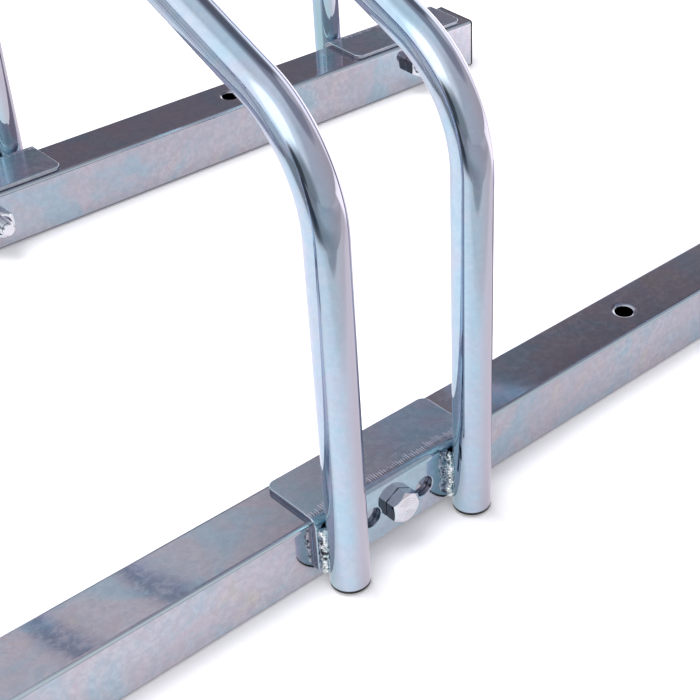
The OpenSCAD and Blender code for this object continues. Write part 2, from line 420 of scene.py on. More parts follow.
@dataclass(frozen=True)
class WeldFinish(Finish):
    """Plated weld metal: bright, lumpy and pitted, its colour following the lumps' height as painted shade in
    the hollows and painted highlight on the crests, and its pits painted near black as shade.
    """

    lump: float = 0.0034
    depth: float = 0.0004
    # Painted shade in the pits.
    pit_shade: Triple = (0.03, 0.035, 0.04)

    def paint(self, book: NodeBook, where: Socket) -> dict:
        """Adds the weld's nodes.

        Args:
            book: The material's nodes.
            where: Object coordinates.

        Returns:
            What feeds the surface shader.
        """
        lumps = book.noise(where, self.lump, 3.0, 0.5, 1.2)
        pit_shade_mask = book.noise(where, self.lump, 3.0, 0.5, 0.3)
        # The colour follows the lumps' height: painted shade in the hollows, painted highlight on the crests.
        colour = book.ramp(lumps, [(0.34, (0.14, 0.18, 0.20)), (0.44, (0.45, 0.52, 0.54)),
                                   (0.54, (0.72, 0.77, 0.80)), (0.66, (0.94, 0.96, 0.98))])
        # Pits painted near black as shade.
        colour = book.blend(book.spread(pit_shade_mask, 0.57, 0.66), colour, self.pit_shade)
        rough, normal = book.spread(lumps, 0.35, 0.65, 0.12, 0.26), book.bump(lumps, self.depth)
        return {"Base Color": colour, "Metallic": 1.0, "Roughness": rough, "Normal": normal}


@dataclass(frozen=True)
class PlasticFinish(Finish):
    """Moulded black plastic: satin, with a fine grain and dusty streaks."""

    grain_size: float = 0.0005
    grain_depth: float = 0.00002
    dust_size: float = 0.006

    def paint(self, book: NodeBook, where: Socket) -> dict:
        """Adds the plastic's nodes.

        Args:
            book: The material's nodes.
            where: Object coordinates.

        Returns:
            What feeds the surface shader.
        """
        normal = book.bump(book.noise(where, self.grain_size, 2.0), self.grain_depth)
        dust = book.noise(where, self.dust_size, 5.0, 0.65, 0.5)
        colour = book.ramp(dust, [(0.4, (0.008, 0.008, 0.009)), (0.62, (0.020, 0.020, 0.022)),
                                  (0.8, (0.05, 0.048, 0.047))])
        rough = book.spread(dust, 0.4, 0.7, 0.5, 0.68)
        return {"Base Color": colour, "Roughness": rough, "Specular IOR Level": 0.3, "Normal": normal}


@dataclass
class Palette:
    """All the rack's materials, made once."""

    made: dict[Slot, bpy.types.Material] = field(default_factory=dict)
    cut_edge: bpy.types.Material | None = None

    def build(self) -> None:
        """Makes every finish."""
        # Darker, rougher zinc for cut faces: partly the sheared metal's dullness, partly painted shade in the
        # holes and along the ends.
        self.cut_edge = ZincFinish(
            "bracket_cut", tint=(0.25, 0.27, 0.31), cool=(0.20, 0.26, 0.30), warm=(0.28, 0.27, 0.31),
            straw=(0.29, 0.29, 0.31), edge=(0.7, 0.7, 0.72), cloud=0.006, gloss=0.20, smudge=0.36,
        ).build()
        recipes = {
            Slot.RAIL: ZincFinish(
                "rail_zinc", tint=(0.415, 0.41, 0.48), cool=(0.34, 0.42, 0.51), warm=(0.44, 0.405, 0.475),
                straw=(0.45, 0.42, 0.43), edge=(0.95, 0.92, 0.96), cloud=0.032, gloss=0.05, smudge=0.18,
                smudge_share=0.4, wave=0.000006, line_depth=0.000006, satin=0.02, mottle=0.055,
                # Painted highlight on the rails' upper rounded edges.
                rounded=(0.64, 0.75, 0.80),
            ),
            Slot.TUBE: ZincFinish(
                "tube_zinc", tint=(0.44, 0.55, 0.67), cool=(0.40, 0.55, 0.68), warm=(0.47, 0.53, 0.66),
                straw=(0.46, 0.55, 0.63), edge=(0.98, 0.93, 0.98), cloud=0.028, gloss=0.05, smudge=0.12,
                # The lilac tint on the tubes' right sides is a painted reflection.
                smudge_share=0.4, wave=0.00002, lines=(0.0007, 0.0007, 0.03), side_reflection=(0.48, 0.45, 0.53),
                # Painted shade low on the legs' inner sides.
                foot=(0.35, 0.51, 0.57),
            ),
            Slot.BRACKET: ZincFinish(
                "bracket_zinc", tint=(0.40, 0.47, 0.57), cool=(0.36, 0.48, 0.57), warm=(0.45, 0.45, 0.55),
                straw=(0.44, 0.47, 0.53), edge=(0.95, 0.93, 0.97), gloss=0.06, smudge=0.20, wave=0.00001,
                lines=(0.03, 0.0007, 0.0007), line_depth=0.000005, satin=0.10, mottle=0.05, comb=Comb(),
            ),
            Slot.FASTENER: ZincFinish(
                "fastener_zinc", tint=(0.70, 0.69, 0.76), cool=(0.65, 0.70, 0.76), warm=(0.73, 0.69, 0.76),
                straw=(0.72, 0.70, 0.72), edge=(0.98, 0.95, 0.98), cloud=0.012, gloss=0.05, smudge=0.16,
                # The flanks facing along the rail get painted shade.
                wave=0.00001, sides=0.70,
            ),
            Slot.WELD: WeldFinish("weld_metal"),
            Slot.PLASTIC: PlasticFinish("black_plastic"),
        }
        self.made = {slot: recipe.build() for slot, recipe in recipes.items()}

    def dress(self, piece: Piece, slot: Slot) -> None:
        """Gives a piece one finish, and a bracket's marked faces that of a cut edge.

        Args:
            piece: The mesh object.
            slot: The finish.
        """
        cuts = [face.index for face in piece.data.polygons if face.material_index == Brackets.cut_index]
        piece.data.materials.clear()
        piece.data.materials.append(self.made[slot])
        if slot is Slot.BRACKET:
            piece.data.materials.append(self.cut_edge)
            for number in cuts:
                piece.data.polygons[number].material_index = Brackets.cut_index


def tidy() -> None:
    """Leaves edit mode and deselects everything."""
    if bpy.context.object and bpy.context.object.mode != "OBJECT":
        leave()
    bpy.ops.object.select_all(action="DESELECT")


def enter() -> None:
    """Enters edit mode."""
    bpy.ops.object.mode_set(mode="EDIT")


def leave() -> None:
    """Leaves edit mode."""
    bpy.ops.object.mode_set(mode="OBJECT")


def focus(piece: Piece) -> None:
    """Makes a piece the only selected and active one."""
    tidy()
    piece.select_set(True)
    bpy.context.view_layer.objects.active = piece


def settle(name: str, size: Triple = (1, 1, 1)) -> Piece:
    """Names the active object and moves its place and size into its mesh.

    Args:
        name: The piece's name.
        size: Scale along the object's own axes.

    Returns:
        The object.
    """
    piece = bpy.context.object
    piece.name = name
    piece.data.name = name
    piece.scale = size
    bpy.ops.object.transform_apply(location=True, rotation=True, scale=True)
    return piece


def pick(piece: Piece, test: Callable, kind: str = "faces") -> None:
    """Selects elements of the mesh in edit mode by a test.

    Args:
        piece: The object in edit mode.
        test: Takes a bmesh element and says whether it is picked.
        kind: "faces", "edges" or "verts".
    """
    bpy.ops.mesh.select_mode(type=kind[:-1].upper())
    bpy.ops.mesh.select_all(action="DESELECT")
    mesh = bmesh.from_edit_mesh(piece.data)
    for element in getattr(mesh, kind):
        if test(element):
            element.select_set(True)
    mesh.select_flush_mode()
    bmesh.update_edit_mesh(piece.data)


def extrude(x: float, y: float, z: float) -> None:
    """Extrudes what is selected and moves it."""
    bpy.ops.mesh.extrude_region_move(TRANSFORM_OT_translate={"value": (x, y, z)})


def close_up(weld: float | None = None) -> None:
    """Turns all normals outwards, after merging points closer than weld, if it is given."""
    bpy.ops.mesh.select_all(action="SELECT")
    if weld:
        bpy.ops.mesh.remove_doubles(threshold=weld)
    bpy.ops.mesh.normals_make_consistent(inside=False)


def modify(piece: Piece, kind: str, **settings) -> None:
    """Adds one modifier and applies it.

    Args:
        piece: The object.
        kind: The modifier's type.
        **settings: Its properties.
    """
    focus(piece)
    modifier = piece.modifiers.new(kind.lower(), kind)
    for name, value in settings.items():
        setattr(modifier, name, value)
    bpy.ops.object.modifier_apply(modifier=modifier.name)


def thicken(piece: Piece, wall: float) -> None:
    """Gives a skin its wall, inwards."""
    modify(piece, "SOLIDIFY", thickness=wall, offset=-1.0, use_even_offset=True)


def round_off(piece: Piece, width: float) -> None:
    """Rounds a piece's sharp edges."""
    modify(piece, "BEVEL", width=width, segments=3, limit_method="ANGLE", angle_limit=math.radians(50))


def join(parts: list[Piece], name: str) -> Piece:
    """Joins objects into the first one.

    Args:
        parts: The objects.
        name: The name of the whole.

    Returns:
        The joined object.
    """
    focus(parts[0])
    for part in parts[1:]:
        part.select_set(True)
    if len(parts) > 1:
        bpy.ops.object.join()
    parts[0].name = name
    parts[0].data.name = name
    return parts[0]


def cut(piece: Piece, cutters: list[Piece], operation: str = "DIFFERENCE") -> None:
    """Cuts a piece with others, which are then gone.

    Args:
        piece: The object.
        cutters: The cutting objects.
        operation: The boolean's operation.
    """
    tool = join(cutters, "cutter")
    modify(piece, "BOOLEAN", object=tool, operation=operation, solver="EXACT")
    bpy.data.objects.remove(tool)


def copy(piece: Piece, name: str, move: Matrix) -> Piece:
    """Copies a piece with its own mesh, moved inside the mesh.

    Args:
        piece: The object.
        name: The copy's name.
        move: Where the copy goes.

    Returns:
        The copy.
    """
    twin = piece.copy()
    twin.data = piece.data.copy()
    twin.name = name
    twin.data.name = name
    bpy.context.scene.collection.objects.link(twin)
    twin.data.transform(move)
    if move.determinant() < 0:
        twin.data.flip_normals()
    return twin


def smooth(piece: Piece, angle: float, weigh: bool = True) -> None:
    """Shades a piece smoothly up to an angle, its large faces staying flat.

    Args:
        piece: The object.
        angle: Sharpest smooth edge, in degrees.
        weigh: Whether large faces rule the normals.
    """
    focus(piece)
    bpy.ops.object.shade_smooth_by_angle(angle=math.radians(angle))
    if weigh:
        modify(piece, "WEIGHTED_NORMAL", mode="FACE_AREA", weight=100, keep_sharp=True)


def turned(name: str, radius: float, steps: list[tuple[float, float]], start: Triple = (0, 0, 0),
           sides: int = 48) -> Piece:
    """A closed turned body on an upright axis, made from a disc by extruding and scaling.

    Args:
        name: The object's name.
        radius: Radius of the first disc.
        steps: New radius and rise of each step.
        start: Where the finished body's first disc goes.
        sides: Sides of the disc.

    Returns:
        The object.
    """
    tidy()
    bpy.ops.mesh.primitive_circle_add(vertices=sides, radius=radius, fill_type="NGON")
    piece = settle(name)
    enter()
    bpy.ops.mesh.select_mode(type="FACE")
    bpy.ops.mesh.select_all(action="SELECT")
    height, now = 0.0, radius
    for wanted, rise in steps:
        height += rise
        extrude(0, 0, rise)
        share = wanted / now
        bpy.ops.transform.resize(value=(share, share, 1), center_override=(0, 0, height))
        now = wanted
    close_up()
    leave()
    piece.data.transform(Matrix.Translation(start))
    return piece


def drill(radius: float, length: float, middle: Triple, axis: str) -> Piece:
    """A round cutter.

    Args:
        radius: Its radius.
        length: Its length.
        middle: Its middle.
        axis: "Y" or "Z".

    Returns:
        The cutter.
    """
    tidy()
    turn = (math.pi / 2, 0, 0) if axis == "Y" else (0, 0, 0)
    bpy.ops.mesh.primitive_cylinder_add(vertices=48, radius=radius, depth=length, location=middle,
                                        rotation=turn)
    return settle("drill")


@dataclass
class Hoops:
    """The bent tubes, two for each wheel place."""

    tube_radius: float = 8 * MM
    wall: float = 1.5 * MM
    leg_y: float = 174.5 * MM
    foot: float = 2.6 * MM
    front_leg: float = 154 * MM
    bend: float = 48 * MM
    slope: float = 22.0
    sides: int = 48
    degrees_a_step: float = 2.5

    def model(self) -> Piece:
        """One hoop in the plane x = 0, bent up from a circle at the front foot.

        Returns:
            The hoop.
        """
        tidy()
        bpy.ops.mesh.primitive_circle_add(vertices=self.sides, radius=self.tube_radius,
                                          location=(0, -self.leg_y, self.foot))
        hoop = settle("hoop")
        rise, run = math.sin(math.radians(self.slope)), math.cos(math.radians(self.slope))
        knee = self.foot + self.front_leg
        start = Vector((0, -self.leg_y + self.bend * (1 - rise), knee + self.bend * run))
        rear_y = self.leg_y - self.bend
        length = (rear_y - self.bend * rise - start.y) / run
        rear_z = start.z + length * rise - self.bend * run
        enter()
        bpy.ops.mesh.select_mode(type="EDGE")
        bpy.ops.mesh.select_all(action="SELECT")
        extrude(0, 0, self.front_leg)
        self.turn(90 - self.slope, (0, self.bend - self.leg_y, knee))
        extrude(0, length * run, length * rise)
        self.turn(90 + self.slope, (0, rear_y, rear_z))
        extrude(0, 0, self.foot - rear_z)
        close_up(weld=MM / 1000)
        low = min(bmesh.from_edit_mesh(hoop.data).faces, key=lambda f: f.calc_center_median().z)
        middle = low.calc_center_median()
        if low.normal.dot(middle - Vector((0, math.copysign(self.leg_y, middle.y), middle.z))) < 0:
            bpy.ops.mesh.flip_normals()
        leave()
        modify(hoop, "SOLIDIFY", thickness=self.wall, offset=-1.0)
        smooth(hoop, 50.0, weigh=False)
        return hoop

    def turn(self, degrees: float, middle: Triple) -> None:
        """Spins the selected ring round a bend, by its angle and centre."""
        steps = round(degrees / self.degrees_a_step)
        bpy.ops.mesh.spin(steps=steps, angle=math.radians(degrees), center=middle, axis=(1, 0, 0))


@dataclass
class Rails:
    """The two square rails with their holes, and the black caps in their ends."""

    side: float = 30 * MM
    wall: float = 1.5 * MM
    edge: float = 2 * MM
    bolt_radius: float = 4.5 * MM
    bolt_z: float = 17 * MM
    anchor_radius: float = 4.5 * MM
    sink_radius: float = 6.5 * MM
    sink_depth: float = 1 * MM
    sink_spare: float = 0.4 * MM
    anchor_from_end: float = 175 * MM
    cap_rim: float = 1.5 * MM
    cap_depth: float = 15 * MM
    cap_edge: float = 0.9 * MM
    cap_dish: float = 0.3 * MM
    cap_play: float = 0.7 * MM
    fin_play: float = 0.1 * MM
    fin_pitch: float = 3.5 * MM
    fin: float = 1 * MM
    soft: float = 0.5 * MM

    def square(self, name: str, low: Vector, high: Vector, edge: float) -> Piece:
        """A square bar with rounded long edges, between two corners.

        Args:
            name: The object's name.
            low: Lowest corner.
            high: Highest corner.
            edge: Radius of the long edges.

        Returns:
            The object, in edit mode.
        """
        tidy()
        bpy.ops.mesh.primitive_cube_add(size=1, location=(low + high) / 2)
        bar = settle(name, tuple(high - low))
        enter()
        pick(bar, lambda e: abs(e.verts[0].co.x - e.verts[1].co.x) > MM / 2, "edges")
        bpy.ops.mesh.bevel(offset=edge, segments=6, affect="EDGES")
        return bar

    def rail(self, name: str, low: Vector, high: Vector, bolts: list[float]) -> Piece:
        """One rail with its anchor holes and bolt holes.

        Args:
            name: The rail's name.
            low: Lowest corner.
            high: Highest corner.
            bolts: X of each bolt.

        Returns:
            The rail.
        """
        bar = self.square(name, low, high, self.edge)
        pick(bar, lambda f: abs(f.normal.x) > 0.9)
        bpy.ops.mesh.delete(type="ONLY_FACE")
        leave()
        thicken(bar, self.wall)
        middle = (low + high) / 2
        anchors = (low.x + self.anchor_from_end, high.x - self.anchor_from_end)
        through = self.side * 1.2
        cut(bar, [drill(self.bolt_radius, through, (x, middle.y, self.bolt_z), "Y") for x in bolts]
            + [drill(self.anchor_radius, through, (x, middle.y, middle.z), "Z") for x in anchors])
        spare = self.sink_spare
        flare = (self.sink_radius - self.anchor_radius) / self.sink_depth * spare
        mouth = [(self.sink_radius + flare, self.sink_depth + 2 * spare)]
        base = high.z - self.sink_depth - spare
        cut(bar, [turned("sink", self.anchor_radius - flare, mouth, (x, middle.y, base)) for x in anchors])
        smooth(bar, 40.0)
        return bar

    def cap(self, name: str, low: Vector, high: Vector, outward: int) -> Piece:
        """A moulded end cap with a rounded rim and a body inside the rail.

        Args:
            name: The cap's name.
            low: Lowest corner of the cap.
            high: Highest corner of the cap.
            outward: 1 at the right end, -1 at the left end.

        Returns:
            The cap.
        """
        rim = self.cap_rim
        start = high.x - rim if outward > 0 else low.x
        corners = Vector((start, low.y, low.z)), Vector((start + rim, high.y, high.z))
        cap = self.square(name, *corners, self.edge)
        pick(cap, lambda f: f.normal.x * outward > 0.9)
        bpy.ops.mesh.inset(thickness=self.cap_edge)
        bpy.ops.mesh.inset(thickness=self.soft)
        bpy.ops.transform.translate(value=(-self.cap_dish * outward, 0, 0))
        leave()
        inner = start if outward > 0 else start + rim
        slabs = [(self.cap_play, 0.0, self.cap_depth)]
        slabs += [(self.fin_play, self.fin_pitch * n - self.fin / 2, self.fin_pitch * n + self.fin / 2)
                  for n in (1, 2, 3)]
        parts = [cap]
        for play, near, far in slabs:
            left, right = sorted((inner - outward * near, inner - outward * far))
            gap = self.wall + play
            parts.append(self.square("slab", Vector((left, low.y + gap, low.z + gap)),
                                     Vector((right, high.y - gap, high.z - gap)), self.soft))
        leave()
        cap = join(parts, name)
        round_off(cap, 0.35 * MM)
        smooth(cap, 40.0)
        return cap


@dataclass
class Brackets:
    """The bent angle brackets, modelled once and copied to every place."""

    length: float = 84 * MM
    sheet: float = 2.5 * MM
    reach: float = 28 * MM
    drop: float = 26 * MM
    rail_top: float = 30 * MM
    face_y: float = 164 * MM
    bend: float = 1.5 * MM
    corner: float = 4 * MM
    soft: float = 0.7 * MM
    hole_radius: float = 4.5 * MM
    hole_pitch: float = 14 * MM
    hole_z: float = 17 * MM
    cut_index: int = 1

    @property
    def holes(self) -> list[float]:
        """X of each hole."""
        return [self.length / 2 + n * self.hole_pitch for n in (-1, 0, 1)]

    def model(self) -> Piece:
        """The rear bracket from x = 0: flange, bend and top plate from one sheet.

        Returns:
            The bracket.
        """
        outer_y, top_z = self.face_y + self.sheet, self.rail_top + self.sheet
        outer_r = self.bend + self.sheet
        low, high = self.rail_top - self.drop, top_z - outer_r
        near = MM / 10
        tidy()
        bpy.ops.mesh.primitive_plane_add(size=1, location=(self.length / 2, outer_y, (low + high) / 2),
                                         rotation=(-math.pi / 2, 0, 0))
        sheet = settle("bracket", (self.length, high - low, 1))
        enter()
        pick(sheet, lambda e: all(v.co.z > high - near for v in e.verts), "edges")
        bpy.ops.mesh.spin(steps=8, angle=-math.pi / 2, center=(0, outer_y - outer_r, high), axis=(1, 0, 0))
        across = self.reach + self.sheet - outer_r
        extrude(0, -across, 0)
        far = outer_y - outer_r - across
        pick(sheet, lambda v: min(v.co.x, self.length - v.co.x) < near
             and (abs(v.co.z - low) < near or abs(v.co.y - far) < near), "verts")
        bpy.ops.mesh.bevel(offset=self.corner, segments=8, affect="VERTICES")
        close_up(weld=MM / 1000)
        flange = max(bmesh.from_edit_mesh(sheet.data).faces, key=lambda f: abs(f.normal.y) * f.calc_area())
        if flange.normal.y < 0:
            bpy.ops.mesh.flip_normals()
        leave()
        thicken(sheet, self.sheet)
        cut(sheet, [drill(self.hole_radius, self.sheet * 4, (x, self.face_y, self.hole_z), "Y")
                    for x in self.holes])
        round_off(sheet, self.soft)
        self.mark_cuts(sheet)
        return sheet

    def mark_cuts(self, sheet: Piece) -> None:
        """Marks the bracket's sheared ends and hole walls, which are duller than its skin; their darker
        colour is also painted shade in the holes and along the ends.

        Args:
            sheet: The bracket.
        """
        for _ in range(self.cut_index + 1):
            sheet.data.materials.append(None)
        for face in sheet.data.polygons:
            middle, normal = face.center, face.normal
            away = min(math.hypot(middle.x - x, middle.z - self.hole_z) for x in self.holes)
            drilled = middle.y > self.face_y and abs(normal.y) < 0.1 and away < self.hole_radius * 1.02
            sheared = abs(normal.x) > 0.98 or (middle.y < self.face_y - self.reach + self.corner
                                               and abs(normal.z) < 0.1 and normal.y < -0.1)
            if drilled or sheared:
                face.material_index = self.cut_index


@dataclass
class Fasteners:
    """The hexagon bolts and nuts, drawn on the Z axis with their seat at z = 0."""

    shank: float = 4 * MM
    length: float = 45 * MM
    flats: float = 13 * MM
    head: float = 5.3 * MM
    nut: float = 6.5 * MM
    pitch: float = 1.25 * MM
    turns: int = 20
    chamfer: float = 1.1 * MM
    nut_chamfer: float = 1.0 * MM
    ring_pitch: float = 1.04 * MM
    ring_gap: float = 0.66 * MM
    ring_floor: float = 0.85 * MM
    ring_depth: float = 0.12 * MM
    ring_end: float = 1.4 * MM
    lip: float = 0.5 * MM
    root: float = 0.62 * MM
    point: float = 0.6 * MM
    play: float = 0.05 * MM

    @property
    def corner(self) -> float:
        """Radius past the hexagon's corners."""
        return self.flats / 2 / math.cos(math.pi / 6) + 0.3 * MM

    @property
    def face(self) -> float:
        """Radius of the flat end inside the chamfer."""
        return self.flats / 2 * 0.93

    def prism(self, name: str, shape: Piece, height: float) -> Piece:
        """A hexagon bar cut to a turned shape, which rounds its corners off.

        Args:
            name: The object's name.
            shape: The turned shape, which is used up.
            height: Its height.

        Returns:
            The hexagon.
        """
        tidy()
        bpy.ops.mesh.primitive_cylinder_add(vertices=6, radius=self.flats / 2 / math.cos(math.pi / 6),
                                            depth=height + 4 * MM, location=(0, 0, height / 2))
        bar = settle(name)
        cut(bar, [shape], "INTERSECT")
        return bar

    def thread(self, turns: int) -> Piece:
        """A screw thread from z = 0 up.

        Args:
            turns: Number of turns.

        Returns:
            The thread.
        """
        tidy()
        bpy.ops.mesh.primitive_plane_add(size=MM)
        ridge = settle("thread")
        enter()
        root, crest = self.shank - self.root, self.shank - 0.02 * MM
        path = [(root, 0.0), (crest, 0.42 * self.pitch), (crest, 0.58 * self.pitch), (root, self.pitch)]
        mesh = bmesh.from_edit_mesh(ridge.data)
        for vertex, (out, up) in zip(list(mesh.faces[:][0].verts), path):
            vertex.co = (out, 0.0, up)
        bmesh.update_edit_mesh(ridge.data)
        pick(ridge, lambda e: {round(v.co.z / self.pitch, 2) for v in e.verts} == {0.0, 1.0}, "edges")
        bpy.ops.mesh.delete(type="EDGE_FACE")
        leave()
        modify(ridge, "SCREW", angle=math.tau, screw_offset=self.pitch, iterations=turns, steps=24,
               render_steps=24, use_merge_vertices=True, merge_threshold=MM / 1000)
        return ridge

    def bolt(self) -> Piece:
        """A bolt, its head above z = 0, with rings turned into it, and its shank below.

        Returns:
            The bolt.
        """
        seat, radius = self.flats / 2 * 0.96, self.face - self.lip
        side = self.head - self.chamfer - 0.3 * MM
        steps = [(seat, 0.25 * MM), (self.corner, 0.05 * MM), (self.corner, side), (self.face, self.chamfer),
                 (radius, 0.04 * MM)]
        while radius > self.ring_end:
            steps += [(radius - self.ring_gap, 0.0), (radius - self.ring_floor, -self.ring_depth),
                      (radius - self.ring_pitch, self.ring_depth)]
            radius -= self.ring_pitch
        head = self.prism("bolt", turned("crown", seat, steps, sides=96), self.head)
        root, threaded = self.shank - self.root, self.turns * self.pitch
        steps = [(root, self.point), (root, threaded - self.point), (self.shank, self.lip),
                 (self.shank, self.length - threaded - self.lip)]
        core = turned("core", self.shank - 2 * self.point, steps, (0, 0, -self.length))
        ridge = self.thread(self.turns - 1)
        ridge.data.transform(Matrix.Translation((0, 0, -self.length + self.point)))
        return join([head, core, ridge], "bolt")

    def nut_model(self) -> Piece:
        """A nut, from z = 0 down to its own height.

        Returns:
            The nut.
        """
        rise, bore, flare = self.nut_chamfer, self.shank + self.play, self.chamfer
        steps = [(self.corner, rise), (self.corner, self.nut - 2 * rise), (self.face, rise)]
        nut = self.prism("nut", turned("shape", self.face, steps, sides=96), self.nut)
        steps = [(bore, flare), (bore, self.nut - 2 * flare + 2 * self.play), (bore + flare, flare)]
        cut(nut, [turned("bore", bore + flare, steps)])
        nut.data.transform(Matrix.Translation((0, 0, -self.nut)))
        return nut


@dataclass
class Welds:
    """The rough beads between the legs and the flanges."""

    bead: float = 2.5 * MM
    offset: float = 6.1 * MM
    lift: float = 1.6 * MM
    low: float = 5.5 * MM
    length: float = 23 * MM
    face_y: float = 166.5 * MM
    puddles: int = 9
    flat_share: float = 0.72
    sway: float = 0.35 * MM
    voxel: float = 0.32 * MM
    lump: float = 3 * MM
    rough: float = 1.3 * MM
    sunk: float = 0.25 * MM

    def model(self) -> Piece:
        """One bead at x = 0 beside a rear flange: a row of overlapping puddles.

        Returns:
            The puddles, before they are merged.
        """
        parts = []
        for n in range(self.puddles):
            share = n / (self.puddles - 1)
            swell = 1.0 + 0.22 * math.sin(2.4 * n + 0.7) - (0.25 if share in (0, 1) else 0.0)
            height = self.low + share * (self.length - 1.5 * self.bead) + 0.75 * self.bead
            tidy()
            bpy.ops.mesh.primitive_ico_sphere_add(subdivisions=3, radius=self.bead * swell, location=(
                self.sway * math.sin(1.7 * n), self.face_y + self.lift, height))
            parts.append(settle("puddle", (1.0, 1.0, self.flat_share)))
        return join(parts, "bead")

    def run(self, bead: Piece, name: str, legs: list[float], side: Side) -> Piece:
        """The four beads of one bracket, merged, roughened and cut to the flange.

        Args:
            bead: The model bead.
            name: The piece's name.
            legs: X of the two legs.
            side: Which rail.

        Returns:
            The piece.
        """
        moves = [Matrix.Translation((leg + way * self.offset, 0, 0)) @ Matrix.Scale(way, 4, (1, 0, 0))
                 for leg in legs for way in (-1, 1)]
        piece = join([copy(bead, "bead_part", move) for move in moves], name)
        if side is Side.FRONT:
            piece.data.transform(MIRROR_Y)
            piece.data.flip_normals()
        modify(piece, "REMESH", mode="VOXEL", voxel_size=self.voxel)
        modify(piece, "SMOOTH", factor=0.5, iterations=2)
        lumps = bpy.data.textures.new(name + "_lumps", "CLOUDS")
        lumps.noise_scale = self.lump
        modify(piece, "DISPLACE", texture=lumps, texture_coords="GLOBAL", strength=self.rough,
               mid_level=0.55)
        self.press(piece, legs, side)
        smooth(piece, 60.0, weigh=False)
        return piece

    def press(self, piece: Piece, legs: list[float], side: Side) -> None:
        """Moves what would stand inside a tube or the flange back to its skin, just below the surface.

        Args:
            piece: The beads.
            legs: X of the two legs.
            side: Which rail.
        """
        reach, wall = Hoops.tube_radius - self.sunk, self.face_y - self.sunk
        for vertex in piece.data.vertices:
            x, y = vertex.co.x, max(vertex.co.y * side.value, wall)
            leg = min(legs, key=lambda other: abs(other - x))
            away = Vector((x - leg, y - Hoops.leg_y))
            if away.length < reach:
                away = away.normalized() * reach
                x, y = leg + away.x, max(Hoops.leg_y + away.y, wall)
            vertex.co.x, vertex.co.y = x, y * side.value
        piece.data.update()


@dataclass
class Plugs:
    """The black plugs in the open tube ends."""

    rim_radius: float = 8 * MM
    body_radius: float = 6.4 * MM
    rim: float = 1.5 * MM
    dish: float = 0.25 * MM
    rib: float = 0.5 * MM
    rib_ramp: float = 0.35 * MM
    ribs: int = 3

    def model(self) -> Piece:
        """One plug on the Z axis: a dished, rounded rim below a ribbed body.

        Returns:
            The plug.
        """
        edge, neck = self.rim_radius, self.body_radius - self.rib
        steps = [(2.2 * MM, 0.0), (3.0 * MM, -self.dish), (edge - 0.6 * MM, 0.0), (edge - 0.2 * MM, 0.1 * MM),
                 (edge, self.dish), (edge, 1.05 * MM), (edge - 0.1 * MM, 0.1 * MM), (neck, 0.0)]
        for _ in range(self.ribs):
            steps += [(neck, 1.8 * MM), (self.body_radius, self.rib_ramp), (self.body_radius, 0.7 * MM),
                      (neck, self.rib_ramp)]
        steps.append((self.body_radius - 1.2 * MM, 1.6 * MM))
        plug = turned("plug", 1.2 * MM, steps, (0, 0, Hoops.foot - self.rim + self.dish))
        smooth(plug, 40.0, weigh=False)
        return plug


